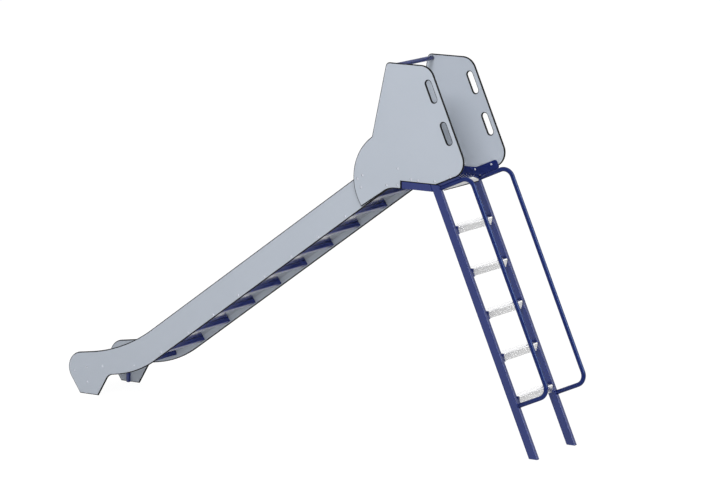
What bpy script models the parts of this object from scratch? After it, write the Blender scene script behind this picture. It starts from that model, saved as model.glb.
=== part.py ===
"""Playground slide with a ladder, laminate side panels and a stainless chute.

X runs along the slide: the exit is at -X and the ladder at +X.
Y runs across it, and the slide is symmetric about Y = 0.
Z is up, and the feet of the side walls and stringers stand on Z = 0.
Outlines in the side view are (x, z) pairs, with x = 0 where the cheek's lobe meets
the wall's lower edge. The finished slide is then moved so that the origin lies
under the middle of its length. All sizes are in metres.
"""

import math

import bmesh
import bpy
from mathutils import Vector

# Overall sizes
WIDTH = 0.500             # over the outer faces of the cheek panels
PANEL = 0.015             # thickness of the compact laminate panels
PANEL_EDGE = 0.0012       # rounding of the panels' edges
GAP = 0.0003              # clearance left between pieces that touch
DECK_Z = 1.635            # top of the platform deck
RISE = 0.2525             # height from one tread to the next
TREADS = 5

# Side walls and chute
CHUTE_ANGLE = math.radians(35.83)
WALL_FOOT_Z = 1.4345      # height at x = 0 of the walls' sloping lower edge
WALL_HEAD_Z = 1.6578      # height at x = 0 of the walls' sloping upper edge
WALL_END_Z = 1.740        # top of the walls where they end behind the cheeks
SHEET = 0.002             # thickness of the stainless sheet
RAIL = 0.030              # side of the square cross rails
RAIL_RAISE = 0.0116       # rail underside above the walls' lower edge
RUN_OUT_TILT = 0.1318     # fall of the run-out over its length
RUN_OUT_Z = 0.4798        # height at x = 0 of the line along the run-out
ENTRY_RADIUS = 0.150
RUN_OUT_RADIUS = 0.550
LIP_X = -2.262            # rounded exit lip of the sheet
LIP_RADIUS = 0.045
LIP_DROP = 0.080
LIP_LEAN = 0.016          # lower edge of the lip behind its upper edge

# Side walls' outline: corners and the radius at each
FOOT_FRONT_X = -2.202     # sole of the foot
FOOT_REAR_X = -2.055
ANKLE = (-1.968, 0.146, 0.065)
WALL_UNDER_BEND = (-1.7278, 0.740)
WALL_OVER_BEND = (-1.8430, 1.100)
WALL_END = (-2.371, 0.251, 0.110)

# Where the cross rails meet the sheet, along x
HEAD_RAILS = (0.270, 0.045)
SLOPE_RAILS = 8
FIRST_SLOPE_RAIL = -0.132
SLOPE_RAIL_STEP = 0.2019
RUN_OUT_RAILS = (-1.766, -2.017, -2.148)

# Cheek panels
PANEL_TOP = 2.361         # top edge of the cheek panels
NOTCH_START = 0.292       # notch under the cheek that shows the platform beam
NOTCH_END = 0.543
NOTCH_Z = 1.630
SOLE_Z = 1.5825           # level underside of cheek and wall behind the notch
SOLE_RADIUS = 0.140
LOBE_X = 0.260            # centre of the round lobe at the cheek's rear
LOBE_Z = 1.630
LOBE_RADIUS = 0.318
LOBE_START = math.radians(125.0)
LOBE_END = math.radians(215.3)
CHEEK_FRONT_X = 0.730     # a point on the cheek's edge along the ladder
CHEEK_FRONT_Z = 1.833
CHEEK_REAR_X = 0.1832     # rear end of the cheek's top edge
CHEEK_CORNER = 0.100
CHEEK_REAR_CORNER = 0.030

# Hand slots in the cheeks
SLOT_WIDE = 0.038
SLOT_LONG = 0.141
SLOT_PITCH = 0.273
SLOT_X = 0.507
SLOT_Z = 2.203

# Platform
PLATE = 0.005             # thickness of the blue side plates
BEAM_UNDER_Z = 1.585
PLATE_TOP_Z = 1.676
ARM_DEEP = 0.056          # arm of the side plate, over the handrail
ARM_REACH = 0.158
ARM_LOWER_RADIUS = 0.012
ARM_UPPER_RADIUS = 0.020
NOSE_AHEAD = 0.0161       # deck nosing ahead of the stringers' front faces
NOSE_DROP = 0.042
BAR_X = 0.214             # cross bar over the chute entry
BAR_Z = 2.336

# Ladder
LADDER_ANGLE = math.radians(66.40)
STRINGER_DEEP = 0.0545    # square to the ladder, seen from the side
STRINGER_WIDE = 0.030     # across the slide
STRINGER_Y = 0.2287       # middle of each stringer
STRINGER_HEEL_X = 1.2121  # rear edge of the stringer on the ground
TUBE_EDGE = 0.003         # corner rounding of the rectangular tubes
BRACKET = 0.0125          # width of the brackets at the tread ends
FOLDED = 0.0025           # thickness of the treads and the deck
TREAD_LIP = 0.048
TREAD_REAR_LIP = 0.030
TREAD_AHEAD = 0.0096      # tread front ahead of the stringers' front faces
TREAD_INSET = 0.0045      # tread rear ahead of the stringers' rear faces

# Handrails
ROUND_TUBE = 0.0285       # outer diameter of the cross bar and the handrails
HANDRAIL_OUT = 0.2285     # centre line ahead of the stringer's front face
HANDRAIL_BEND = 0.065
HANDRAIL_HEAD_Z = 1.6107  # where the centre line meets the stringer
HANDRAIL_FOOT_Z = 0.3193

# Square uprights inside the feet
FOOT_BAR = 0.020
FOOT_BAR_X = -2.134
FOOT_BAR_TOP = 0.162

# Positions across the slide, as distances from the middle
CHEEK_Y = WIDTH / 2 - PANEL / 2
WALL_Y = CHEEK_Y - PANEL - GAP
WALL_INNER_Y = WALL_Y - PANEL / 2
PLATE_Y = CHEEK_Y - PANEL / 2 - GAP - PLATE / 2
STRINGER_INNER_Y = STRINGER_Y - STRINGER_WIDE / 2

# Directions in the side view
CLIMB = Vector((-math.cos(LADDER_ANGLE), math.sin(LADDER_ANGLE)))
AHEAD = Vector((math.sin(LADDER_ANGLE), math.cos(LADDER_ANGLE)))

SIDES = (("left", 1), ("right", -1))


def main():
    clear_scene()
    assembly = bpy.data.collections.new("playground_slide")
    bpy.context.scene.collection.children.link(assembly)
    laminate = laminate_panel()
    paint = blue_paint()
    stainless = stainless_steel()
    perforated = perforated_metal()
    for side, sign in SIDES:
        side_wall(assembly, side, sign, laminate)
        cheek_panel(assembly, side, sign, laminate)
        platform_side(assembly, side, sign, paint)
        platform_beam(assembly, side, sign, paint)
        stringer(assembly, side, sign, paint)
        handrail(assembly, side, sign, paint)
        foot_bracket(assembly, side, sign, paint)
        for number in range(1, TREADS + 1):
            tread_bracket(assembly, number, side, sign, paint)
    chute_sheet(assembly, stainless)
    cross_rails(assembly, paint)
    cross_bar(assembly, paint)
    platform_deck(assembly, perforated)
    for number in range(1, TREADS + 1):
        tread(assembly, number, perforated)
    centre_over_origin(assembly)


def clear_scene():
    for item in list(bpy.data.objects):
        bpy.data.objects.remove(item, do_unlink=True)


def centre_over_origin(assembly):
    """Move the slide along X until the origin is under the middle of its length."""
    bpy.context.view_layer.update()
    reaches = []
    for item in assembly.objects:
        for corner in item.bound_box:
            reaches.append((item.matrix_world @ Vector(corner)).x)
    middle = (min(reaches) + max(reaches)) / 2
    for item in assembly.objects:
        item.location.x -= middle


# Materials

def plain_material(name, color, roughness, metallic):
    material = bpy.data.materials.new(name)
    material.use_nodes = True
    shader = material.node_tree.nodes["Principled BSDF"]
    shader.inputs["Base Color"].default_value = (*color, 1.0)
    shader.inputs["Roughness"].default_value = roughness
    shader.inputs["Metallic"].default_value = metallic
    return material


def laminate_panel():
    return plain_material("laminate_panel", (0.456, 0.503, 0.558), 0.45, 0.0)


def blue_paint():
    return plain_material("blue_paint", (0.020, 0.038, 0.225), 0.35, 0.0)


def stainless_steel():
    return plain_material("stainless_steel", (0.56, 0.56, 0.57), 0.28, 1.0)


def perforated_metal():
    return plain_material("perforated_metal", (0.62, 0.63, 0.64), 0.40, 1.0)


# Outlines in the side view

def fillet(before, corner, after, radius):
    """Points of the arc that rounds one corner of an outline."""
    corner = Vector(corner)
    back = (Vector(before) - corner).normalized()
    onward = (Vector(after) - corner).normalized()
    half = back.angle(onward) / 2
    centre = corner + (back + onward).normalized() * (radius / math.sin(half))
    start = corner + back * (radius / math.tan(half)) - centre
    end = corner + onward * (radius / math.tan(half)) - centre
    sweep = start.angle_signed(end)
    steps = max(3, round(abs(sweep) * 9 * (1 + radius)))
    points = []
    for index in range(steps + 1):
        turn = -sweep * index / steps
        cosine = math.cos(turn)
        sine = math.sin(turn)
        points.append((centre.x + start.x * cosine - start.y * sine,
                       centre.y + start.x * sine + start.y * cosine))
    return points


def rounded(corners):
    """Closed outline through (x, z, radius) corners, radius 0 for a sharp one."""
    outline = []
    for index, (x, z, radius) in enumerate(corners):
        if radius == 0:
            outline.append((x, z))
            continue
        before = corners[index - 1][:2]
        after = corners[(index + 1) % len(corners)][:2]
        outline.extend(fillet(before, (x, z), after, radius))
    return outline


def rounded_path(corners):
    """Open path through (x, z, radius) corners; its two ends stay as given."""
    path = [corners[0][:2]]
    for before, corner, after in zip(corners, corners[1:], corners[2:]):
        path.extend(fillet(before[:2], corner[:2], after[:2], corner[2]))
    path.append(corners[-1][:2])
    return path


def band(path, thickness):
    """Closed outline of a sheet that lies on the left of its path."""
    upper = []
    for index, point in enumerate(path):
        ahead = Vector(path[min(index + 1, len(path) - 1)])
        behind = Vector(path[max(index - 1, 0)])
        along = (ahead - behind).normalized()
        upper.append((point[0] - along.y * thickness, point[1] + along.x * thickness))
    return list(path) + upper[::-1]


def slot_outline(x, z, width, length, angle):
    """Slot with round ends whose long axis stands at the given angle."""
    radius = width / 2
    reach = length / 2 - radius
    steps = 8
    points = []
    for end_angle in (angle, angle + math.pi):
        end_x = x + reach * math.cos(end_angle)
        end_z = z + reach * math.sin(end_angle)
        for index in range(steps + 1):
            turn = end_angle + math.pi * (index / steps - 0.5)
            points.append((end_x + radius * math.cos(turn), end_z + radius * math.sin(turn)))
    return points


# Solids

def add(collection, name, mesh, material):
    item = bpy.data.objects.new(name, mesh)
    mesh.materials.clear()
    mesh.materials.append(material)
    collection.objects.link(item)
    return item


def solid_from_curve(collection, name, curve, material, placement):
    """Mesh object made from a curve, with the curve's caps welded on."""
    helper = bpy.data.objects.new(name + "_curve", curve)
    bpy.context.scene.collection.objects.link(helper)
    helper.rotation_euler = (placement["turn_x"], 0.0, 0.0)
    helper.location = (0.0, placement["middle_y"], 0.0)
    bpy.context.view_layer.update()
    evaluated = helper.evaluated_get(bpy.context.evaluated_depsgraph_get())
    mesh = bpy.data.meshes.new_from_object(evaluated)
    mesh.name = name
    weld = bmesh.new()
    weld.from_mesh(mesh)
    bmesh.ops.remove_doubles(weld, verts=weld.verts, dist=0.00005)
    bmesh.ops.recalc_face_normals(weld, faces=weld.faces)
    weld.to_mesh(mesh)
    weld.free()
    item = add(collection, name, mesh, material)
    item.matrix_world = helper.matrix_world.copy()
    bpy.data.objects.remove(helper, do_unlink=True)
    return item


def slab(collection, name, outlines, middle_y, thickness, material):
    """Flat piece that stands in the side view; outlines after the first are holes."""
    curve = bpy.data.curves.new(name, "CURVE")
    curve.dimensions = "2D"
    curve.fill_mode = "BOTH"
    curve.extrude = thickness / 2
    for outline in outlines:
        spline = curve.splines.new("POLY")
        spline.points.add(len(outline) - 1)
        for point, (x, z) in zip(spline.points, outline):
            point.co = (x, z, 0.0, 1.0)
        spline.use_cyclic_u = True
    placement = {"turn_x": math.pi / 2, "middle_y": middle_y}
    return solid_from_curve(collection, name, curve, material, placement)


def round_tube(collection, name, points, material):
    """Round tube along a path of world points, closed at both ends."""
    curve = bpy.data.curves.new(name, "CURVE")
    curve.dimensions = "3D"
    curve.bevel_depth = ROUND_TUBE / 2
    curve.bevel_resolution = 4
    curve.use_fill_caps = True
    spline = curve.splines.new("POLY")
    spline.points.add(len(points) - 1)
    for point, place in zip(spline.points, points):
        point.co = (*place, 1.0)
    placement = {"turn_x": 0.0, "middle_y": 0.0}
    item = solid_from_curve(collection, name, curve, material, placement)
    item.data.shade_smooth()
    item.data.set_sharp_from_angle(angle=math.radians(40))
    return item


def box(collection, name, size, material):
    """Bar of the given size about its own centre."""
    mesh = bpy.data.meshes.new(name)
    build = bmesh.new()
    bmesh.ops.create_cube(build, size=1.0)
    bmesh.ops.scale(build, vec=size, verts=build.verts)
    build.to_mesh(mesh)
    build.free()
    return add(collection, name, mesh, material)


def soften(item, width):
    """Round the item's sharp edges."""
    bevel = item.modifiers.new("edge", "BEVEL")
    bevel.width = width
    bevel.segments = 2
    bevel.limit_method = "ANGLE"
    bevel.angle_limit = math.radians(40)


# Side walls and chute

def on_slope(x, height_at_zero):
    return x, height_at_zero + x * math.tan(CHUTE_ANGLE)


def slope_reaches(z, height_at_zero):
    return (z - height_at_zero) / math.tan(CHUTE_ANGLE), z


def side_wall(collection, side, sign, material):
    """Long wall beside the chute, with the foot that stands on the ground."""
    under_bend_x, under_bend_radius = WALL_UNDER_BEND
    over_bend_x, over_bend_radius = WALL_OVER_BEND
    outline = rounded([
        (FOOT_FRONT_X, 0.0, 0.0),
        (FOOT_REAR_X, 0.0, 0.0),
        ANKLE,
        (*on_slope(under_bend_x, WALL_FOOT_Z), under_bend_radius),
        (*slope_reaches(SOLE_Z, WALL_FOOT_Z), SOLE_RADIUS),
        (NOTCH_START, SOLE_Z, 0.0),
        (NOTCH_START, WALL_END_Z, 0.0),
        (*slope_reaches(WALL_END_Z, WALL_HEAD_Z), 0.0),
        (*on_slope(over_bend_x, WALL_HEAD_Z), over_bend_radius),
        WALL_END,
    ])
    wall = slab(collection, "side_wall_" + side, [outline], sign * WALL_Y, PANEL, material)
    soften(wall, PANEL_EDGE)


def run_out_z(x):
    return RUN_OUT_Z + RUN_OUT_TILT * x


def sheet_underside():
    """Path of the stainless sheet's underside, from the platform to the exit."""
    lift = RAIL_RAISE + RAIL + GAP
    at_zero = WALL_FOOT_Z + lift / math.cos(CHUTE_ANGLE)
    bend_x = (RUN_OUT_Z - at_zero) / (math.tan(CHUTE_ANGLE) - RUN_OUT_TILT)
    lip_z = run_out_z(LIP_X)
    return rounded_path([
        (NOTCH_START, DECK_Z - SHEET, 0.0),
        (*slope_reaches(DECK_Z - SHEET, at_zero), ENTRY_RADIUS),
        (bend_x, run_out_z(bend_x), RUN_OUT_RADIUS),
        (LIP_X, lip_z, LIP_RADIUS),
        (LIP_X + LIP_LEAN, lip_z - LIP_DROP, 0.0),
    ])


def chute_sheet(collection, material):
    """Stainless sliding surface between the walls, with a lip turned down at the exit."""
    outline = band(sheet_underside()[::-1], SHEET)
    slab(collection, "chute_sheet", [outline], 0.0, 2 * (WALL_INNER_Y - GAP), material)


def under_sheet(x):
    """Centre and tilt of a rail that touches the sheet's underside at x."""
    path = sheet_underside()
    for ahead, behind in zip(path, path[1:]):
        if behind[0] <= x <= ahead[0]:
            break
    along = (Vector(ahead) - Vector(behind)).normalized()
    point = Vector(behind) + along * ((x - behind[0]) / along.x)
    centre = point - Vector((-along.y, along.x)) * (RAIL / 2 + GAP)
    return centre, math.atan2(along.y, along.x)


def cross_rails(collection, material):
    """Square rails under the chute, bolted between the two walls."""
    slope = [FIRST_SLOPE_RAIL - SLOPE_RAIL_STEP * index for index in range(SLOPE_RAILS)]
    places = [*HEAD_RAILS, *slope, *RUN_OUT_RAILS]
    size = (RAIL, 2 * (WALL_INNER_Y - GAP), RAIL)
    for number, x in enumerate(places, start=1):
        rail = box(collection, "cross_rail_%02d" % number, size, material)
        centre, tilt = under_sheet(x)
        rail.location = (centre.x, 0.0, centre.y)
        rail.rotation_euler = (0.0, -tilt, 0.0)
        soften(rail, TUBE_EDGE)


def foot_bracket(collection, side, sign, material):
    """Square upright inside each foot, running down to the ground."""
    bracket = box(collection, "foot_bracket_" + side, (FOOT_BAR, FOOT_BAR, FOOT_BAR_TOP), material)
    bracket.location = (FOOT_BAR_X, sign * (WALL_INNER_Y - GAP - FOOT_BAR / 2), FOOT_BAR_TOP / 2)
    soften(bracket, PANEL_EDGE)


# Cheeks and platform

def cheek_panel(collection, side, sign, material):
    """Tall guard panel beside the platform, with a round lobe and two hand slots."""
    steps = 16
    lobe = []
    for index in range(steps + 1):
        turn = LOBE_START + (LOBE_END - LOBE_START) * index / steps
        lobe.append((LOBE_X + LOBE_RADIUS * math.cos(turn),
                     LOBE_Z + LOBE_RADIUS * math.sin(turn), 0.0))
    heel = Vector((NOTCH_END, NOTCH_Z))
    toe = heel + AHEAD * (Vector((CHEEK_FRONT_X, CHEEK_FRONT_Z)) - heel).dot(AHEAD)
    head_x = CHEEK_FRONT_X - (PANEL_TOP - CHEEK_FRONT_Z) / math.tan(LADDER_ANGLE)
    outlines = [rounded(lobe + [
        (*slope_reaches(SOLE_Z, WALL_FOOT_Z), SOLE_RADIUS),
        (NOTCH_START, SOLE_Z, 0.0),
        (NOTCH_START, NOTCH_Z, 0.0),
        (heel.x, heel.y, 0.0),
        (toe.x, toe.y, CHEEK_CORNER),
        (head_x, PANEL_TOP, CHEEK_CORNER),
        (CHEEK_REAR_X, PANEL_TOP, CHEEK_REAR_CORNER),
    ])]
    for place in (Vector((SLOT_X, SLOT_Z)), Vector((SLOT_X, SLOT_Z)) - CLIMB * SLOT_PITCH):
        outlines.append(slot_outline(place.x, place.y, SLOT_WIDE, SLOT_LONG, math.pi - LADDER_ANGLE))
    cheek = slab(collection, "cheek_panel_" + side, outlines, sign * CHEEK_Y, PANEL, material)
    soften(cheek, PANEL_EDGE)


def stringer_rear(z):
    return STRINGER_HEEL_X - z / math.tan(LADDER_ANGLE)


def stringer_front(z):
    return stringer_rear(z) + STRINGER_DEEP / math.sin(LADDER_ANGLE)


def handrail_head():
    """Point where the centre line of a handrail leaves the top of its stringer."""
    return Vector((stringer_front(HANDRAIL_HEAD_Z), HANDRAIL_HEAD_Z))


def platform_side(collection, side, sign, material):
    """Blue plate bolted inside the cheek, with an arm that runs out over the handrail."""
    root = handrail_head() + CLIMB * (ROUND_TUBE / 2 + GAP)
    lower_tip = root + AHEAD * ARM_REACH
    upper_tip = lower_tip + CLIMB * ARM_DEEP
    tilt = AHEAD.y / AHEAD.x
    outline = rounded([
        (NOTCH_START + GAP, NOTCH_Z, 0.0),
        (root.x + (NOTCH_Z - root.y) / tilt, NOTCH_Z, 0.0),
        (lower_tip.x, lower_tip.y, ARM_LOWER_RADIUS),
        (upper_tip.x, upper_tip.y, ARM_UPPER_RADIUS),
        (upper_tip.x - (upper_tip.y - PLATE_TOP_Z) / tilt, PLATE_TOP_Z, 0.0),
        (NOTCH_START + GAP, PLATE_TOP_Z, 0.0),
    ])
    slab(collection, "platform_side_" + side, [outline], sign * PLATE_Y, PLATE, material)


def platform_beam(collection, side, sign, material):
    """Rectangular tube beside the deck, welded to the head of the stringer."""
    over_z = NOTCH_Z - GAP
    outline = [
        (NOTCH_START + GAP, BEAM_UNDER_Z),
        (stringer_rear(BEAM_UNDER_Z) - GAP, BEAM_UNDER_Z),
        (stringer_rear(over_z) - GAP, over_z),
        (NOTCH_START + GAP, over_z),
    ]
    beam = slab(collection, "platform_beam_" + side, [outline], sign * STRINGER_Y, STRINGER_WIDE,
                material)
    soften(beam, TUBE_EDGE)


def platform_deck(collection, material):
    """Folded deck sheet with a nosing turned down towards the ladder."""
    start = NOTCH_START + GAP
    nose = stringer_front(DECK_Z) + NOSE_AHEAD
    outline = [
        (start, DECK_Z - FOLDED),
        (nose - FOLDED, DECK_Z - FOLDED),
        (nose - FOLDED, DECK_Z - NOSE_DROP),
        (nose, DECK_Z - NOSE_DROP),
        (nose, DECK_Z),
        (start, DECK_Z),
    ]
    slab(collection, "platform_deck", [outline], 0.0, 2 * (STRINGER_INNER_Y - GAP), material)


def cross_bar(collection, material):
    """Round bar between the cheeks, over the top of the chute."""
    reach = CHEEK_Y - PANEL / 2 - GAP
    round_tube(collection, "cross_bar", [(BAR_X, -reach, BAR_Z), (BAR_X, reach, BAR_Z)], material)


# Ladder

def stringer(collection, side, sign, material):
    """Ladder leg: a rectangular tube cut level on the ground and at its head."""
    head_z = NOTCH_Z - GAP
    outline = [
        (stringer_rear(0.0), 0.0),
        (stringer_front(0.0), 0.0),
        (stringer_front(head_z), head_z),
        (stringer_rear(head_z), head_z),
    ]
    leg = slab(collection, "stringer_" + side, [outline], sign * STRINGER_Y, STRINGER_WIDE, material)
    soften(leg, TUBE_EDGE)


def tread(collection, number, material):
    """Folded tread with one lip at the front and one at the rear."""
    top = DECK_Z - RISE * number
    front = stringer_front(top) + TREAD_AHEAD
    rear = stringer_rear(top) + TREAD_INSET
    outline = [
        (rear, top),
        (rear, top - TREAD_REAR_LIP),
        (rear + FOLDED, top - TREAD_REAR_LIP),
        (rear + FOLDED, top - FOLDED),
        (front - FOLDED, top - FOLDED),
        (front - FOLDED, top - TREAD_LIP),
        (front, top - TREAD_LIP),
        (front, top),
    ]
    half = STRINGER_INNER_Y - BRACKET - 2 * GAP
    slab(collection, "tread_%d" % number, [outline], 0.0, 2 * half, material)


def tread_bracket(collection, number, side, sign, material):
    """Bracket on the inside of a stringer that holds the end of one tread."""
    top = DECK_Z - RISE * number
    under = top - TREAD_LIP
    front = stringer_front(top) + TREAD_AHEAD
    outline = [
        (stringer_rear(top), top),
        (stringer_rear(under), under),
        (stringer_front(under), under),
        (front, top - TREAD_AHEAD * math.tan(LADDER_ANGLE)),
        (front, top),
    ]
    middle_y = sign * (STRINGER_INNER_Y - GAP - BRACKET / 2)
    slab(collection, "tread_bracket_%d_%s" % (number, side), [outline], middle_y, BRACKET, material)


def handrail(collection, side, sign, material):
    """Bent tube beside the ladder, with both ends on the stringer's front face."""
    head = handrail_head()
    foot = Vector((stringer_front(HANDRAIL_FOOT_Z), HANDRAIL_FOOT_Z))
    path = rounded_path([
        (*(head + AHEAD * GAP), 0.0),
        (*(head + AHEAD * HANDRAIL_OUT), HANDRAIL_BEND),
        (*(foot + AHEAD * HANDRAIL_OUT), HANDRAIL_BEND),
        (*(foot + AHEAD * GAP), 0.0),
    ])
    points = [(x, sign * STRINGER_Y, z) for x, z in path]
    round_tube(collection, "handrail_" + side, points, material)


main()
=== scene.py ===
"""Looks of the playground slide: fine pieces, materials, studio light and camera.

Sizes repeat the part's own, in metres. The slide's side view has its zero where the
cheek's lobe meets the wall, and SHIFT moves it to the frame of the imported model.
"""

import math

import bmesh
import bpy
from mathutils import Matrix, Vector


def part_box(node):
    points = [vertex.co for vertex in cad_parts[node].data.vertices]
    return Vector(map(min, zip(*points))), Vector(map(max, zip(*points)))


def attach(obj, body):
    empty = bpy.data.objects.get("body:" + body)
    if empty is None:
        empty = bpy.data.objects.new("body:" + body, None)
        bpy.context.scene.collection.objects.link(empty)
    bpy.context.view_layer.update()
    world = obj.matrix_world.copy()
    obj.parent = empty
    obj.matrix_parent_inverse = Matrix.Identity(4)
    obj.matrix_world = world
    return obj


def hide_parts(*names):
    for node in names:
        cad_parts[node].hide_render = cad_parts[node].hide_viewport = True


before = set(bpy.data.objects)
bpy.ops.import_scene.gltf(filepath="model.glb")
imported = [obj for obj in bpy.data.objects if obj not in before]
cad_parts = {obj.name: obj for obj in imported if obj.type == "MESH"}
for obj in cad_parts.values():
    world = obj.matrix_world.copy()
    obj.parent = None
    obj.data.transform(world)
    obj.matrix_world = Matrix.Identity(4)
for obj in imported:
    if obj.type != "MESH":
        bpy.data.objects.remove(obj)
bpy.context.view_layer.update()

# Sizes shared with the part
WIDTH = 0.500
PANEL = 0.015
GAP = 0.0003
DECK_Z = 1.635
RISE = 0.2525
TREADS = 5
CHUTE_SLOPE = math.tan(math.radians(35.83))
WALL_FOOT_Z = 1.4345
SHEET = 0.002
RAIL = 0.030
RAIL_RAISE = 0.0116
RUN_OUT_TILT = 0.1318
RUN_OUT_Z = 0.4798
NOTCH_START = 0.292
LIP_X = -2.262
LIP_DROP = 0.080
LIP_LEAN = 0.016
NOSE_AHEAD = 0.0161
NOSE_DROP = 0.042
BAR_X = 0.214
BAR_Z = 2.336
WALL_HEAD_Z = 1.6578
WALL_END_Z = 1.740
FOOT_FRONT_X = -2.202
FOOT_REAR_X = -2.055
ANKLE = (-1.968, 0.146, 0.065)
WALL_UNDER_BEND = (-1.7278, 0.740)
WALL_OVER_BEND = (-1.8430, 1.100)
WALL_END = (-2.371, 0.251, 0.110)
PANEL_TOP = 2.361
NOTCH_END = 0.543
NOTCH_Z = 1.630
SOLE_Z = 1.5825
SOLE_RADIUS = 0.140
LOBE_X = 0.260
LOBE_Z = 1.630
LOBE_RADIUS = 0.318
LOBE_START = math.radians(125.0)
LOBE_END = math.radians(215.3)
CHEEK_FRONT_X = 0.730
CHEEK_FRONT_Z = 1.833
CHEEK_REAR_X = 0.1832
CHEEK_CORNER = 0.100
CHEEK_REAR_CORNER = 0.030
SLOT_WIDE = 0.038
SLOT_LONG = 0.141
SLOT_PITCH = 0.273
SLOT_X = 0.507
SLOT_Z = 2.203
ROUND_OVER = 0.0064
LADDER_ANGLE = math.radians(66.40)
STRINGER_DEEP = 0.0545
STRINGER_Y = 0.2287
STRINGER_WIDE = 0.030
STRINGER_HEEL_X = 1.2121
BRACKET = 0.0125
FOLDED = 0.0025
TREAD_LIP = 0.048
TREAD_REAR_LIP = 0.030
TREAD_AHEAD = 0.0096
TREAD_INSET = 0.0045
ROUND_TUBE = 0.0285
HANDRAIL_OUT = 0.2285
HANDRAIL_BEND = 0.065
HANDRAIL_HEAD_Z = 1.6107
HANDRAIL_FOOT_Z = 0.3193
PLATE = 0.005
ARM_REACH = 0.152
WELD = 0.0018

CHEEK_Y = WIDTH / 2 - PANEL / 2
WALL_Y = CHEEK_Y - PANEL - GAP
WALL_INNER_Y = WALL_Y - PANEL / 2
STRINGER_INNER_Y = STRINGER_Y - STRINGER_WIDE / 2
CLIMB = Vector((-math.cos(LADDER_ANGLE), math.sin(LADDER_ANGLE)))
AHEAD = Vector((math.sin(LADDER_ANGLE), math.cos(LADDER_ANGLE)))

bar_low, bar_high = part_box("cross_bar")
SHIFT = (bar_low.x + bar_high.x) / 2 - BAR_X

# Bolts, as (x, z) in the side view
WALL_BOLTS = (
    (0.048, 1.507), (-0.128, 1.370), (-0.332, 1.222), (-0.529, 1.077),
    (-0.735, 0.930), (-0.939, 0.786), (-1.133, 0.640), (-1.329, 0.499),
    (-1.544, 0.347), (-1.760, 0.231), (-2.015, 0.201), (-2.146, 0.181),
    (-2.140, 0.081), (-2.244, 0.144),
)
CHEEK_BOLTS = (
    (0.270, 1.709), (0.012, 1.644), (-0.025, 1.620), (0.189, 1.599),
    (0.268, 1.607), (0.001, 1.569), (0.366, 1.651), (0.417, 1.648),
    (0.536, 1.652), (0.647, 1.691),
)
PLATE_BOLTS = ((0.533, 1.661), (0.649, 1.704))
HEAD_HIGH = 0.0048
SINK = 0.0050
SINK_RADIUS = 0.0088
PLATE_INNER_Y = CHEEK_Y - PANEL / 2 - GAP - PLATE
PLATE_Y = PLATE_INNER_Y + PLATE / 2

# Perforation
HOLE = 0.0045
HOLE_PITCH = 0.026
HOLE_ROWS = 0.0130
HOLE_MARGIN = 0.032
BEND = 0.004
LIP_CUT = (0.038, 0.013)
EDGE_STRIP = 0.0060

SIDES = (("left", 1), ("right", -1))


# Node helpers

class Shader:
    """A new material with its Principled shader and short ways to add nodes."""

    def __init__(self, name):
        self.material = bpy.data.materials.new(name)
        self.material.use_nodes = True
        self.tree = self.material.node_tree
        self.shader = self.tree.nodes["Principled BSDF"]

    def node(self, kind, inputs=(), **settings):
        made = self.tree.nodes.new("ShaderNode" + kind)
        for key, value in settings.items():
            setattr(made, key, value)
        for key, value in dict(inputs).items():
            if isinstance(value, bpy.types.NodeSocket):
                self.tree.links.new(value, made.inputs[key])
            else:
                made.inputs[key].default_value = value
        return made

    def set(self, **values):
        for key, value in values.items():
            socket = self.shader.inputs[key.replace("_", " ")]
            if isinstance(value, bpy.types.NodeSocket):
                self.tree.links.new(value, socket)
            else:
                socket.default_value = value

    def place(self, scale=(1.0, 1.0, 1.0)):
        """Position on the object in metres, stretched by a scale along each axis."""
        where = self.node("TexCoord").outputs["Object"]
        return self.node("Mapping", {"Vector": where, "Scale": scale}).outputs["Vector"]

    def noise(self, vector, scale, detail=2.0, roughness=0.5):
        made = self.node("TexNoise", {
            "Vector": vector, "Scale": scale, "Detail": detail, "Roughness": roughness})
        return made.outputs["Fac"]

    def spread(self, value, low, high, start=0.0, end=1.0):
        """Map a value between low and high to the range from start to end."""
        made = self.node("MapRange", {
            "Value": value, "From Min": low, "From Max": high, "To Min": start, "To Max": end})
        return made.outputs["Result"]

    def mix(self, factor, first, second):
        made = self.node("Mix", data_type="RGBA")
        for socket, value in zip((made.inputs[0], made.inputs[6], made.inputs[7]),
                                 (factor, first, second)):
            if isinstance(value, bpy.types.NodeSocket):
                self.tree.links.new(value, socket)
            else:
                socket.default_value = value if isinstance(value, float) else (*value, 1.0)
        return made.outputs[2]

    def mix_value(self, factor, first, second):
        made = self.node("Mix", data_type="FLOAT")
        for socket, value in zip((made.inputs[0], made.inputs[2], made.inputs[3]),
                                 (factor, first, second)):
            if isinstance(value, bpy.types.NodeSocket):
                self.tree.links.new(value, socket)
            else:
                socket.default_value = value
        return made.outputs[0]

    def math(self, operation, first, second=0.0):
        made = self.node("Math", {0: first, 1: second}, operation=operation)
        return made.outputs[0]

    def bump(self, height, strength, distance):
        made = self.node("Bump", {"Height": height, "Strength": strength, "Distance": distance})
        self.set(Normal=made.outputs["Normal"])


# Materials

def decor_material():
    """Matt light face of the compact laminate."""
    s = Shader("laminate_decor")
    place = s.place()
    cloud = s.noise(place, 2.2, 4.0, 0.55)
    fleck = s.noise(place, 420.0, 2.0, 0.6)
    decor = s.mix(s.spread(cloud, 0.3, 0.7), (0.355, 0.388, 0.440), (0.377, 0.410, 0.463))
    s.set(Base_Color=s.mix(s.spread(fleck, 0.35, 0.75, 0.0, 0.3), decor, (0.328, 0.362, 0.413)),
          Roughness=s.spread(cloud, 0.3, 0.7, 0.42, 0.50), Specular_IOR_Level=0.4)
    s.bump(s.noise(place, 900.0, 2.0, 0.6), 0.2, 0.0004)
    return s.material


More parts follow.
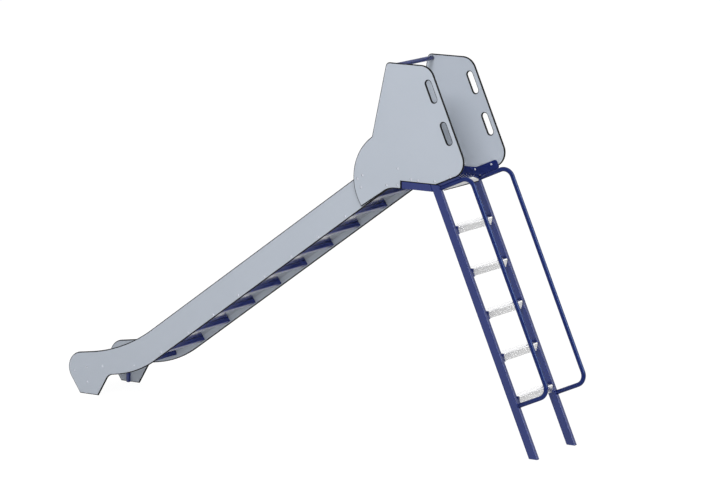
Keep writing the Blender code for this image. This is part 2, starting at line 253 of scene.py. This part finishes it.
def core_material():
    """Black paper core of the laminate, bare along the milled edges."""
    s = Shader("laminate_core")
    layers = s.noise(s.place((3.0, 2600.0, 3.0)), 1.0, 2.0)
    s.set(Base_Color=s.mix(s.spread(layers, 0.35, 0.7), (0.004, 0.004, 0.005),
                           (0.013, 0.012, 0.012)),
          Roughness=s.spread(layers, 0.35, 0.7, 0.55, 0.68), Specular_IOR_Level=0.08)
    s.bump(layers, 0.15, 0.0003)
    return s.material


def paint_material(name, gloss, tint):
    """Blue powder coat with a fine orange peel."""
    s = Shader(name)
    place = s.place()
    cloud = s.noise(place, 5.0, 3.0, 0.5)
    speck = s.noise(place, 700.0, 2.0, 0.6)
    base = s.mix(s.spread(cloud, 0.3, 0.7), (0.0080, 0.0140, 0.086), (0.0100, 0.0170, 0.102))
    base = s.mix(s.spread(speck, 0.55, 0.8, 0.0, 0.4), base, (0.015, 0.027, 0.135))
    s.set(Base_Color=base, Roughness=s.spread(cloud, 0.3, 0.7, 0.19, 0.26),
          Specular_IOR_Level=gloss, Specular_Tint=tint)
    peel = s.noise(place, 380.0, 1.5, 0.5)
    s.bump(peel, 0.18, 0.0006)
    return s.material


def brushed_material(name, stretch, color, shade, rough, strength, metallic):
    """Steel with brush lines along the axis that has the small stretch."""
    s = Shader(name)
    lines = s.noise(s.place(stretch), 1.0, 3.0, 0.6)
    cloud = s.noise(s.place(), 4.0, 3.0, 0.5)
    s.set(Base_Color=s.mix(s.spread(lines, 0.3, 0.7), shade, color), Metallic=metallic)
    worn = s.math("ADD", s.spread(lines, 0.3, 0.7, rough - 0.05, rough + 0.05),
                  s.spread(cloud, 0.3, 0.7, -0.03, 0.03))
    s.set(Roughness=worn)
    s.bump(lines, strength, 0.0003)
    return s.material


def bolt_material():
    """Bright stainless of the bolt heads and washers, with turning marks."""
    s = Shader("bolt_steel")
    grain = s.noise(s.place(), 900.0, 3.0, 0.6)
    s.set(Base_Color=s.mix(grain, (0.46, 0.48, 0.54), (0.54, 0.56, 0.62)), Metallic=0.45,
          Roughness=s.spread(grain, 0.3, 0.7, 0.26, 0.38))
    s.bump(grain, 0.15, 0.0002)
    return s.material


# Mesh helpers

def finish_piece(name, mesh, material, slot, *replaced):
    piece = bpy.data.objects.new(name, mesh)
    mesh.materials.clear()
    mesh.materials.append(material)
    bpy.context.scene.collection.objects.link(piece)
    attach(piece, "root")
    if replaced:
        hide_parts(*replaced)
    return piece


def mesh_of(name, build, smooth_angle=35):
    bmesh.ops.recalc_face_normals(build, faces=build.faces)
    mesh = bpy.data.meshes.new(name)
    build.to_mesh(mesh)
    build.free()
    mesh.shade_smooth()
    mesh.set_sharp_from_angle(angle=math.radians(smooth_angle))
    return mesh


def fillet(before, corner, after, radius, steps):
    corner = Vector(corner)
    back = (Vector(before) - corner).normalized()
    onward = (Vector(after) - corner).normalized()
    half = back.angle(onward) / 2
    centre = corner + (back + onward).normalized() * (radius / math.sin(half))
    start = corner + back * (radius / math.tan(half)) - centre
    end = corner + onward * (radius / math.tan(half)) - centre
    sweep = start.angle_signed(end)
    points = []
    for index in range(steps + 1):
        turn = -sweep * index / steps
        cosine = math.cos(turn)
        sine = math.sin(turn)
        points.append((centre.x + start.x * cosine - start.y * sine,
                       centre.y + start.x * sine + start.y * cosine))
    return points


def rounded_path(corners, steps):
    """Open path through (x, z, radius) corners; its two ends stay as given."""
    path = [corners[0][:2]]
    for before, corner, after in zip(corners, corners[1:], corners[2:]):
        path.extend(fillet(before[:2], corner[:2], after[:2], corner[2], steps))
    path.append(corners[-1][:2])
    return [Vector(point) for point in path]


def lengths_along(path):
    reached = [0.0]
    for behind, ahead in zip(path, path[1:]):
        reached.append(reached[-1] + (ahead - behind).length)
    return reached


def stations(path):
    """Point, direction and normal at each path point, and the length up to it."""
    made = []
    for index, point in enumerate(path):
        ahead = path[min(index + 1, len(path) - 1)]
        behind = path[max(index - 1, 0)]
        along = (ahead - behind).normalized()
        made.append((point, along, Vector((-along.y, along.x))))
    return made


def perforated_blank(length, half, holes, thickness, edge, cut):
    """Flat sheet with round holes, from 0 to its length along X, with broken edges."""
    curve = bpy.data.curves.new("blank", "CURVE")
    curve.dimensions = "2D"
    curve.fill_mode = "BOTH"
    curve.extrude = thickness / 2 - edge
    curve.bevel_depth = edge
    curve.bevel_resolution = 0
    curve.offset = -edge
    cut_long, cut_wide = cut
    outline = [(0.0, -half), (length - cut_long, -half), (length, cut_wide - half),
               (length, half - cut_wide), (length - cut_long, half), (0.0, half)]
    loops = [outline]
    for u, y in holes:
        loops.append([(u + HOLE / 2 * math.cos(turn * math.pi / 7),
                       y + HOLE / 2 * math.sin(turn * math.pi / 7)) for turn in range(14)])
    for loop in loops:
        spline = curve.splines.new("POLY")
        spline.points.add(len(loop) - 1)
        for point, (u, y) in zip(spline.points, loop):
            point.co = (u, y, 0.0, 1.0)
        spline.use_cyclic_u = True
    helper = bpy.data.objects.new("blank", curve)
    bpy.context.scene.collection.objects.link(helper)
    bpy.context.view_layer.update()
    evaluated = helper.evaluated_get(bpy.context.evaluated_depsgraph_get())
    mesh = bpy.data.meshes.new_from_object(evaluated)
    build = bmesh.new()
    build.from_mesh(mesh)
    bmesh.ops.remove_doubles(build, verts=build.verts, dist=0.00002)
    bpy.data.objects.remove(helper, do_unlink=True)
    bpy.data.meshes.remove(mesh)
    return build


def fold_blank(build, path):
    """Bend a flat blank along a path in the side view."""
    reached = lengths_along(path)
    placed = stations(path)
    for cut in reached[1:-1]:
        geometry = build.verts[:] + build.edges[:] + build.faces[:]
        bmesh.ops.bisect_plane(build, geom=geometry, dist=0.00001, plane_co=(cut, 0, 0),
                               plane_no=(1, 0, 0))
    for vert in build.verts:
        u = min(max(vert.co.x, 0.0), reached[-1])
        index = 0
        while index < len(reached) - 2 and u > reached[index + 1]:
            index += 1
        share = (u - reached[index]) / (reached[index + 1] - reached[index])
        point = placed[index][0].lerp(placed[index + 1][0], share)
        normal = placed[index][2].lerp(placed[index + 1][2], share)
        if index == 0 and share == 0.0:
            normal = placed[0][2]
        bend = placed[index][2].angle(placed[index + 1][2]) if 0 < share < 1 else 0.0
        rise = vert.co.z / max(math.cos(bend / 2), 0.5)
        place = point + normal.normalized() * rise
        vert.co = (place.x + SHIFT, vert.co.y, place.y)


def hole_grid(flats, half):
    """Staggered holes over the flat stretches of a blank, clear of its bends and ends."""
    holes = []
    for start, end in flats:
        room = end - start - HOLE - 0.004
        rows = max(1, int(room / HOLE_ROWS) + 1)
        first = (start + end) / 2 - (rows - 1) * HOLE_ROWS / 2
        across = int(2 * (half - HOLE_MARGIN) / HOLE_PITCH)
        for row in range(rows):
            count = across + (row + 1) % 2
            for index in range(count):
                holes.append((first + row * HOLE_ROWS, (index - (count - 1) / 2) * HOLE_PITCH))
    return holes


def stringer_rear(z):
    return STRINGER_HEEL_X - z / math.tan(LADDER_ANGLE)


def stringer_front(z):
    return stringer_rear(z) + STRINGER_DEEP / math.sin(LADDER_ANGLE)


def folded_sheet(corners, half, pierced):
    """Sheet folded along its side view, with holes in as many flat stretches as given."""
    path = rounded_path(corners, 6)
    reached = lengths_along(path)
    flats = []
    for behind, ahead in zip(reached, reached[1:]):
        if ahead - behind > 0.012:
            flats.append((behind, ahead))
    build = perforated_blank(reached[-1], half, hole_grid(flats[:pierced], half), FOLDED,
                             0.0003, LIP_CUT)
    fold_blank(build, path)
    return build


def strip_along(build, outline, reach):
    """Straight profile across the slide."""
    ends = []
    for y in (-reach, reach):
        ends.append([build.verts.new((x + SHIFT, y, z)) for x, z in outline])
        build.faces.new(ends[-1])
    for index in range(len(outline)):
        onward = (index + 1) % len(outline)
        build.faces.new((ends[0][index], ends[0][onward], ends[1][onward], ends[1][index]))


def treads(material):
    for number in range(1, TREADS + 1):
        top = DECK_Z - RISE * number
        front = stringer_front(top) + TREAD_AHEAD - FOLDED / 2
        rear = stringer_rear(top) + TREAD_INSET + FOLDED / 2
        mid = top - FOLDED / 2
        corners = [(rear, top - TREAD_REAR_LIP, 0), (rear, mid, BEND), (front, mid, BEND),
                   (front, top - TREAD_LIP, 0)]
        half = STRINGER_INNER_Y - BRACKET - 2 * GAP
        build = folded_sheet(corners, half, 3)
        name = "tread_plate_%d" % number
        finish_piece(name, mesh_of(name, build), material, "perforated_metal",
                     "tread_%d" % number)


def deck(material, shadow_line_finish):
    nose = stringer_front(DECK_Z) + NOSE_AHEAD - FOLDED / 2
    mid = DECK_Z - FOLDED / 2
    corners = [(NOTCH_START + GAP, mid, 0), (nose, mid, BEND), (nose, DECK_Z - NOSE_DROP, 0)]
    half = STRINGER_INNER_Y - GAP
    build = folded_sheet(corners, half, 1)
    # Painted shade: a dark strip in the black core finish along the nosing's lower edge, which
    # draws the dark shadow line under the nosing.
    inner = nose - FOLDED / 2 - 0.0012
    outer = nose + FOLDED / 2 + 0.0010
    under = DECK_Z - NOSE_DROP - 0.0010
    strip_along(build, [(inner, under), (outer, under), (outer, under + EDGE_STRIP),
                        (nose, under + EDGE_STRIP + 0.0006), (inner, under + EDGE_STRIP)],
                half - LIP_CUT[1])
    piece = finish_piece("deck_plate", mesh_of("deck_plate", build), material,
                         "perforated_metal", "platform_deck")
    # The strip's faces take the dark finish of this painted shadow line.
    piece.data.materials.append(shadow_line_finish)
    for face in piece.data.polygons:
        if face.center.z < under + EDGE_STRIP:
            face.material_index = 1


# Laminate panels

def rounded(corners, steps):
    """Closed outline through (x, z, radius) corners, radius 0 for a sharp one."""
    outline = []
    for index, (x, z, radius) in enumerate(corners):
        if radius == 0:
            outline.append((x, z))
            continue
        before = corners[index - 1][:2]
        after = corners[(index + 1) % len(corners)][:2]
        outline.extend(fillet(before, (x, z), after, radius, steps))
    return outline


def slot_outline(x, z, width, length, angle):
    """Slot with round ends whose long axis stands at the given angle."""
    radius = width / 2
    reach = length / 2 - radius
    steps = 16
    points = []
    for end_angle in (angle, angle + math.pi):
        end_x = x + reach * math.cos(end_angle)
        end_z = z + reach * math.sin(end_angle)
        for index in range(steps + 1):
            turn = end_angle + math.pi * (index / steps - 0.5)
            points.append((end_x + radius * math.cos(turn), end_z + radius * math.sin(turn)))
    return points


def on_slope(x, height_at_zero):
    return x, height_at_zero + x * CHUTE_SLOPE


def slope_reaches(z, height_at_zero):
    return (z - height_at_zero) / CHUTE_SLOPE, z


def wall_outlines():
    under_bend_x, under_bend_radius = WALL_UNDER_BEND
    over_bend_x, over_bend_radius = WALL_OVER_BEND
    return [rounded([
        (FOOT_FRONT_X, 0.0, 0.0),
        (FOOT_REAR_X, 0.0, 0.0),
        ANKLE,
        (*on_slope(under_bend_x, WALL_FOOT_Z), under_bend_radius),
        (*slope_reaches(SOLE_Z, WALL_FOOT_Z), SOLE_RADIUS),
        (NOTCH_START, SOLE_Z, 0.0),
        (NOTCH_START, WALL_END_Z, 0.0),
        (*slope_reaches(WALL_END_Z, WALL_HEAD_Z), 0.0),
        (*on_slope(over_bend_x, WALL_HEAD_Z), over_bend_radius),
        WALL_END,
    ], 24)]


def cheek_outlines():
    steps = 48
    lobe = []
    for index in range(steps + 1):
        turn = LOBE_START + (LOBE_END - LOBE_START) * index / steps
        lobe.append((LOBE_X + LOBE_RADIUS * math.cos(turn),
                     LOBE_Z + LOBE_RADIUS * math.sin(turn), 0.0))
    heel = Vector((NOTCH_END, NOTCH_Z))
    toe = heel + AHEAD * (Vector((CHEEK_FRONT_X, CHEEK_FRONT_Z)) - heel).dot(AHEAD)
    head_x = CHEEK_FRONT_X - (PANEL_TOP - CHEEK_FRONT_Z) / math.tan(LADDER_ANGLE)
    outlines = [rounded(lobe + [
        (*slope_reaches(SOLE_Z, WALL_FOOT_Z), SOLE_RADIUS),
        (NOTCH_START, SOLE_Z, 0.0),
        (NOTCH_START, NOTCH_Z, 0.0),
        (heel.x, heel.y, 0.0),
        (toe.x, toe.y, CHEEK_CORNER),
        (head_x, PANEL_TOP, CHEEK_CORNER),
        (CHEEK_REAR_X, PANEL_TOP, CHEEK_REAR_CORNER),
    ], 20)]
    for step in (0, SLOT_PITCH):
        place = Vector((SLOT_X, SLOT_Z)) - CLIMB * step
        outlines.append(slot_outline(place.x, place.y, SLOT_WIDE, SLOT_LONG,
                                     math.pi - LADDER_ANGLE))
    return outlines


def panel(name, outlines, middle_y, decor, core, replaced, sinks=()):
    """Laminate board with rounded-over edges that show its black core."""
    curve = bpy.data.curves.new(name, "CURVE")
    curve.dimensions = "2D"
    curve.fill_mode = "BOTH"
    curve.extrude = PANEL / 2 - ROUND_OVER
    curve.bevel_depth = ROUND_OVER
    curve.bevel_resolution = 2
    curve.offset = -ROUND_OVER
    for outline in outlines:
        spline = curve.splines.new("POLY")
        spline.points.add(len(outline) - 1)
        for point, (x, z) in zip(spline.points, outline):
            point.co = (x + SHIFT, z, 0.0, 1.0)
        spline.use_cyclic_u = True
    helper = bpy.data.objects.new(name, curve)
    bpy.context.scene.collection.objects.link(helper)
    bpy.context.view_layer.update()
    evaluated = helper.evaluated_get(bpy.context.evaluated_depsgraph_get())
    mesh = bpy.data.meshes.new_from_object(evaluated)
    build = bmesh.new()
    build.from_mesh(mesh)
    bmesh.ops.remove_doubles(build, verts=build.verts, dist=0.00002)
    for vert in build.verts:
        vert.co = (vert.co.x, middle_y - vert.co.z, vert.co.y)
    bpy.data.objects.remove(helper, do_unlink=True)
    bpy.data.meshes.remove(mesh)
    board = mesh_of(name, build, 40)
    if sinks:
        board = sink_bolts(board, middle_y, sinks)
    piece = finish_piece(name, board, decor, "laminate_panel", replaced)
    board.materials.append(core)
    for face in board.polygons:
        depth = PANEL / 2 - abs(face.center.y - middle_y)
        if abs(face.normal.y) < 0.999 or depth > 0.0005:
            face.material_index = 1
        else:
            face.use_smooth = False
    return piece


def sink_bolts(board, middle_y, places):
    """Blind round recesses in the outer face, which keep the bolt heads flush."""
    outward = math.copysign(1.0, middle_y)
    face_y = middle_y + outward * PANEL / 2
    build = bmesh.new()
    for x, z in places:
        rings = []
        for y in (face_y - outward * SINK, face_y + outward * SINK):
            rings.append([build.verts.new((
                x + SHIFT + SINK_RADIUS * math.cos(turn * math.pi / 12), y,
                z + SINK_RADIUS * math.sin(turn * math.pi / 12))) for turn in range(24)])
        for index in range(24):
            onward = (index + 1) % 24
            build.faces.new((rings[0][index], rings[0][onward], rings[1][onward],
                             rings[1][index]))
        build.faces.new(rings[0])
        build.faces.new(rings[1])
    cutter = bpy.data.objects.new("sinks", mesh_of("sinks", build))
    body = bpy.data.objects.new("board", board)
    for item in (cutter, body):
        bpy.context.scene.collection.objects.link(item)
    cut = body.modifiers.new("sinks", "BOOLEAN")
    cut.operation = "DIFFERENCE"
    cut.solver = "EXACT"
    cut.object = cutter
    bpy.context.view_layer.update()
    evaluated = body.evaluated_get(bpy.context.evaluated_depsgraph_get())
    sunk = bpy.data.meshes.new_from_object(evaluated)
    sunk.name = board.name
    for item in (cutter, body):
        mesh = item.data
        bpy.data.objects.remove(item, do_unlink=True)
        bpy.data.meshes.remove(mesh)
    return sunk


def panels(decor, core):
    for side, sign in SIDES:
        panel("wall_board_" + side, wall_outlines(), sign * WALL_Y, decor, core,
              "side_wall_" + side)
        panel("cheek_board_" + side, cheek_outlines(), sign * CHEEK_Y, decor, core,
              "cheek_panel_" + side, CHEEK_BOLTS)


# Tubes

def tube(name, points, radius, material, slot, replaced, segments=36, ends=0.0015):
    """Round tube along world points, with softly broken ends."""
    build = bmesh.new()
    rings = []
    last = len(points) - 1
    side = Vector((0.0, 1.0, 0.0))
    stops = []
    for index, point in enumerate(points):
        along = (points[min(index + 1, last)] - points[max(index - 1, 0)]).normalized()
        stops.append((point, along, radius))
    start, along, _ = stops[0]
    stops.insert(0, (start, along, radius - ends))
    stops[1] = (start + along * ends, along, radius)
    end, along, _ = stops[-1]
    stops[-1] = (end - along * ends, along, radius)
    stops.append((end, along, radius - ends))
    for point, along, reach in stops:
        across = side if abs(along.dot(side)) < 0.9 else Vector((1.0, 0.0, 0.0))
        first = along.cross(across).normalized()
        second = along.cross(first).normalized()
        ring = []
        for index in range(segments):
            turn = 2 * math.pi * index / segments
            ring.append(build.verts.new(
                point + (first * math.cos(turn) + second * math.sin(turn)) * reach))
        rings.append(ring)
    for lower, upper in zip(rings, rings[1:]):
        for index in range(segments):
            onward = (index + 1) % segments
            build.faces.new((lower[index], lower[onward], upper[onward], upper[index]))
    build.faces.new(rings[0])
    build.faces.new(rings[-1])
    return finish_piece(name, mesh_of(name, build, 50), material, slot, *replaced)


def handrails(material):
    head = Vector((stringer_front(HANDRAIL_HEAD_Z), HANDRAIL_HEAD_Z))
    foot = Vector((stringer_front(HANDRAIL_FOOT_Z), HANDRAIL_FOOT_Z))
    corners = [(*(head + AHEAD * GAP), 0), (*(head + AHEAD * HANDRAIL_OUT), HANDRAIL_BEND),
               (*(foot + AHEAD * HANDRAIL_OUT), HANDRAIL_BEND), (*(foot + AHEAD * GAP), 0)]
    path = rounded_path(corners, 20)
    for side, sign in SIDES:
        points = [Vector((p.x + SHIFT, sign * STRINGER_Y, p.y)) for p in path]
        tube("grab_rail_" + side, points, ROUND_TUBE / 2, material, "blue_paint",
             ["handrail_" + side], ends=0.0004)


def cross_bar(material):
    reach = CHEEK_Y - PANEL / 2 - GAP
    points = [Vector((BAR_X + SHIFT, y, BAR_Z)) for y in (-reach, -reach / 2, 0, reach / 2, reach)]
    tube("entry_bar", points, ROUND_TUBE / 2, material, "blue_paint", ["cross_bar"], ends=0.0004)


def weld(build, points, across, closed):
    """Weld bead along world points, with the ripples that a torch leaves."""
    count = len(points)
    rings = []
    for index, point in enumerate(points):
        onward = points[(index + 1) % count] if closed else points[min(index + 1, count - 1)]
        behind = points[index - 1] if closed else points[max(index - 1, 0)]
        along = (onward - behind).normalized()
        first = along.cross(across).normalized()
        second = along.cross(first)
        reach = WELD * (1.0 + 0.12 * math.sin(index * 2.1))
        ring = []
        for step in range(8):
            turn = step * math.pi / 4
            ring.append(build.verts.new(
                point + (first * math.cos(turn) + second * math.sin(turn)) * reach))
        rings.append(ring)
    joined = zip(rings, rings[1:] + rings[:1]) if closed else zip(rings, rings[1:])
    for lower, upper in joined:
        for index in range(8):
            onward = (index + 1) % 8
            build.faces.new((lower[index], lower[onward], upper[onward], upper[index]))
    if not closed:
        build.faces.new(rings[0])
        build.faces.new(rings[-1])


def welds(material):
    """Beads around the handrails' ends and under the arms of the side plates."""
    ahead = Vector((AHEAD.x, 0.0, AHEAD.y))
    climb = Vector((CLIMB.x, 0.0, CLIMB.y))
    level = Vector((0.0, 1.0, 0.0))
    round_reach = ROUND_TUBE / 2 - 0.0003
    for side, sign in SIDES:
        build = bmesh.new()
        for z in (HANDRAIL_HEAD_Z, HANDRAIL_FOOT_Z):
            centre = Vector((stringer_front(z) + SHIFT, sign * STRINGER_Y, z)) + ahead * 0.0008
            ring = [centre + (climb * math.cos(turn * math.pi / 28)
                              + level * math.sin(turn * math.pi / 28)) * round_reach
                    for turn in range(56)]
            weld(build, ring, ahead, True)
        root = Vector((stringer_front(HANDRAIL_HEAD_Z) + SHIFT, sign * PLATE_Y,
                       HANDRAIL_HEAD_Z)) + climb * (ROUND_TUBE / 2 - 0.0001)
        steps = 90
        seam = [root + ahead * (0.004 + (ARM_REACH - 0.018) * step / steps)
                for step in range(steps + 1)]
        weld(build, seam, level, False)
        finish_piece("weld_beads_" + side, mesh_of("weld_beads_" + side, build, 60), material,
                     "blue_paint")


# Chute

def chute(material):
    """Sliding surface with finely rounded bends and a turned-down exit lip."""
    lift = RAIL_RAISE + RAIL + GAP
    at_zero = WALL_FOOT_Z + lift * math.sqrt(1 + CHUTE_SLOPE ** 2)
    bend_x = (RUN_OUT_Z - at_zero) / (CHUTE_SLOPE - RUN_OUT_TILT)
    lip_z = RUN_OUT_Z + RUN_OUT_TILT * LIP_X
    under = DECK_Z - SHEET
    corners = [
        (NOTCH_START, under, 0), ((under - at_zero) / CHUTE_SLOPE, under, 0.150),
        (bend_x, RUN_OUT_Z + RUN_OUT_TILT * bend_x, 0.550), (LIP_X, lip_z, 0.045),
        (LIP_X + LIP_LEAN, lip_z - LIP_DROP, 0),
    ]
    path = rounded_path(corners, 28)
    half = WALL_INNER_Y - GAP
    build = bmesh.new()
    rows = []
    for point, along, normal in stations(path):
        over = point - normal * SHEET
        rows.append([build.verts.new((x + SHIFT, y, z)) for (x, z), y in (
            (point, -half), (point, half), (over, half), (over, -half))])
    for lower, upper in zip(rows, rows[1:]):
        for index in range(4):
            onward = (index + 1) % 4
            build.faces.new((lower[index], lower[onward], upper[onward], upper[index]))
    build.faces.new(rows[0])
    build.faces.new(rows[-1])
    finish_piece("chute_surface", mesh_of("chute_surface", build, 30), material,
                 "stainless_steel", "chute_sheet")


# Bolts

def bolt_into(build, x, y, z, outward, head, washer, bed):
    """Domed socket head on a washer of a given thickness, outward from a face square to Y."""
    segments = 18
    rings = [
        (washer, 0.0), (washer, 0.0010), (washer - 0.0004, 0.0014), (head + 0.0002, 0.0014),
        (head, 0.0018), (head * 0.94, 0.0030), (head * 0.78, 0.0041), (head * 0.55, 0.0047),
        (head * 0.40, HEAD_HIGH), (head * 0.37, 0.0025),
    ]
    made = []
    for radius, height in rings:
        height = bed + height * (1 - bed / HEAD_HIGH) if height > 0 else 0.0
        ring = []
        for index in range(segments):
            turn = 2 * math.pi * index / segments
            reach = radius
            if radius < head * 0.45:
                reach = radius * math.cos(math.pi / 6) / math.cos(
                    (turn % (math.pi / 3)) - math.pi / 6)
            ring.append(build.verts.new((
                x + SHIFT + reach * math.cos(turn), y + outward * height,
                z + reach * math.sin(turn))))
        made.append(ring)
    for lower, upper in zip(made, made[1:]):
        for index in range(segments):
            onward = (index + 1) % segments
            build.faces.new((lower[index], lower[onward], upper[onward], upper[index]))
    build.faces.new(made[0])
    build.faces.new(made[-1])


def bolts(material):
    groups = (
        ("wall_bolts", WALL_BOLTS, WALL_Y + PANEL / 2, 1, 0.0062, 0.0080, 0.0),
        ("cheek_bolts", CHEEK_BOLTS, CHEEK_Y + PANEL / 2 - SINK, 1, 0.0074, 0.0086, 0.0032),
        ("plate_bolts", PLATE_BOLTS, PLATE_INNER_Y, -1, 0.0054, 0.0072, 0.0),
    )
    for name, places, y, outward, head, washer, bed in groups:
        for side, sign in SIDES:
            build = bmesh.new()
            for x, z in places:
                bolt_into(build, x, sign * y, z, sign * outward, head, washer, bed)
            mesh = mesh_of(name + "_" + side, build, 32)
            finish_piece(name + "_" + side, mesh, material, "stainless_steel")


# CAD nodes that keep their shape

def dress_nodes(paint):
    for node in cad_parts.values():
        if not node.hide_render:
            node.material_slots[0].material = paint


# Studio

def floor():
    """Pale floor that reads as white paper to the camera."""
    mesh = bpy.data.meshes.new("floor")
    reach = 90.0
    mesh.from_pydata([(-reach, -reach, 0), (reach, -reach, 0), (reach, reach, 0),
                      (-reach, reach, 0)], [], [(0, 1, 2, 3)])
    item = bpy.data.objects.new("floor", mesh)
    bpy.context.scene.collection.objects.link(item)
    s = Shader("floor")
    seen = s.node("LightPath").outputs["Is Camera Ray"]
    s.set(Base_Color=s.mix(seen, (0.25, 0.25, 0.25), (0.10, 0.10, 0.10)), Roughness=0.9,
          Specular_IOR_Level=0.0, Emission_Color=(1.0, 1.0, 1.0, 1.0),
          Emission_Strength=s.mix_value(seen, 0.48, 0.955))
    mesh.materials.append(s.material)
    item.location.z = -0.0005
    item.visible_glossy = False


# Soft boxes that only reflections see: direction, cosines of their edge and core, strength
SOFT_BOXES = (
    ((-0.60, -0.77, -0.20), 0.900, 0.975, 1.50),
    ((0.880, -0.05, 0.42), 0.870, 0.970, 9.50),
    ((0.516, 0.826, 0.225), 0.930, 0.985, 1.50),
    ((0.54, 0.82, -0.30), 0.900, 0.985, 0.38),
    ((-0.54, 0.82, 0.18), 0.850, 0.970, 1.00),
    ((-0.90, 0.15, 0.40), 0.750, 0.930, 0.90),
    ((0.0, 0.0, 1.0), 0.250, 0.750, 1.10),
)
# Low light from ahead of the ladder, which reaches under the chute, and light from behind
FILLS = (
    ((0.86, -0.50, 0.08), 0.800, 0.960, 3.70),
    ((-0.35, 0.88, 0.32), 0.300, 0.880, 1.15),
)


def studio():
    """White light from all round and above, with soft boxes for the reflections."""
    world = bpy.data.worlds.new("studio")
    bpy.context.scene.world = world
    world.use_nodes = True
    tree = world.node_tree

    def node(kind, *inputs, **settings):
        made = tree.nodes.new("ShaderNode" + kind)
        for key, value in settings.items():
            setattr(made, key, value)
        for socket, value in zip(made.inputs, inputs):
            if isinstance(value, bpy.types.NodeSocket):
                tree.links.new(value, socket)
            elif value is not None:
                socket.default_value = value
        return made.outputs

    def math_node(operation, first, second):
        return node("Math", first, second, operation=operation)["Value"]

    def fade(value, low, high, start, end):
        return node("MapRange", value, low, high, start, end,
                    interpolation_type="SMOOTHSTEP")["Result"]

    direction = node("TexCoord")["Generated"]
    height = node("SeparateXYZ", direction)["Z"]

    def soft_box(toward, edge, core, strength):
        along = node("VectorMath", direction, Vector(toward).normalized(),
                     operation="DOT_PRODUCT")["Value"]
        return fade(along, edge, core, 0.0, strength)

    boxes = fade(height, -0.55, -0.05, 0.80, 0.10)
    for box in SOFT_BOXES:
        boxes = math_node("ADD", boxes, soft_box(*box))
    ambient = fade(height, 0.0, 1.0, 0.07, 0.38)
    for fill in FILLS:
        ambient = math_node("ADD", ambient, soft_box(*fill))
    path = node("LightPath")
    glossy = math_node("MULTIPLY", path["Is Glossy Ray"], boxes)
    diffuse = math_node("MULTIPLY", path["Is Diffuse Ray"], ambient)
    strength = math_node("ADD", math_node("ADD", glossy, diffuse), path["Is Camera Ray"])
    back = tree.nodes["Background"]
    back.inputs["Color"].default_value = (1.0, 1.0, 1.0, 1.0)
    tree.links.new(strength, back.inputs["Strength"])
    bpy.context.scene.view_settings.view_transform = "Standard"
    key_light()


def key_light():
    """Large soft light in front of the slide, high enough to reach between the cheeks."""
    data = bpy.data.lights.new("key", "AREA")
    data.shape = "DISK"
    data.size = 4.2
    data.energy = 890.0
    item = bpy.data.objects.new("key", data)
    bpy.context.scene.collection.objects.link(item)
    azimuth = math.radians(14)
    elevation = math.radians(38)
    aim = Vector((0.0, 0.0, 1.2))
    toward = Vector((math.sin(azimuth) * math.cos(elevation),
                     -math.cos(azimuth) * math.cos(elevation), math.sin(elevation)))
    item.location = aim + toward * 12.0
    item.rotation_euler = toward.to_track_quat("Z", "Y").to_euler()
    item.visible_glossy = False


def camera():
    data = bpy.data.cameras.new("camera")
    data.sensor_fit = "HORIZONTAL"
    data.sensor_width = 36.0
    data.lens = 199.0
    data.clip_end = 300.0
    item = bpy.data.objects.new("camera", data)
    item.location = (13.65919, -20.60024, 5.63854)
    item.rotation_euler = (math.radians(90 - 10.290), 0.0, math.radians(32.945))
    bpy.context.scene.collection.objects.link(item)
    bpy.context.scene.camera = item


camera()
decor = decor_material()
core = core_material()
paint = paint_material("powder_coat", 0.5, (0.52, 0.60, 1.0, 1.0))
# Painted shade: a duller copy of the powder coat, with weaker gloss and another sheen tint, so the
# tubes read darker than the flat painted faces.
shaded_tube_paint = paint_material("tube_coat_painted_shade", 0.24, (0.46, 0.70, 1.0, 1.0))
stainless = brushed_material("brushed_stainless", (3.0, 900.0, 3.0), (0.70, 0.70, 0.71),
                             (0.56, 0.56, 0.57), 0.16, 0.10, 1.0)
perforated = brushed_material("brushed_tread", (900.0, 3.0, 900.0), (0.90, 0.90, 0.90),
                              (0.82, 0.82, 0.83), 0.18, 0.08, 0.80)
polished = brushed_material("polished_deck", (900.0, 3.0, 900.0), (0.96, 0.96, 0.97),
                            (0.88, 0.88, 0.89), 0.11, 0.04, 1.0)
bolt_steel = bolt_material()
panels(decor, core)
treads(perforated)
deck(polished, core)
handrails(shaded_tube_paint)
cross_bar(paint)
welds(paint)
chute(stainless)
bolts(bolt_steel)
dress_nodes(paint)
floor()
studio()
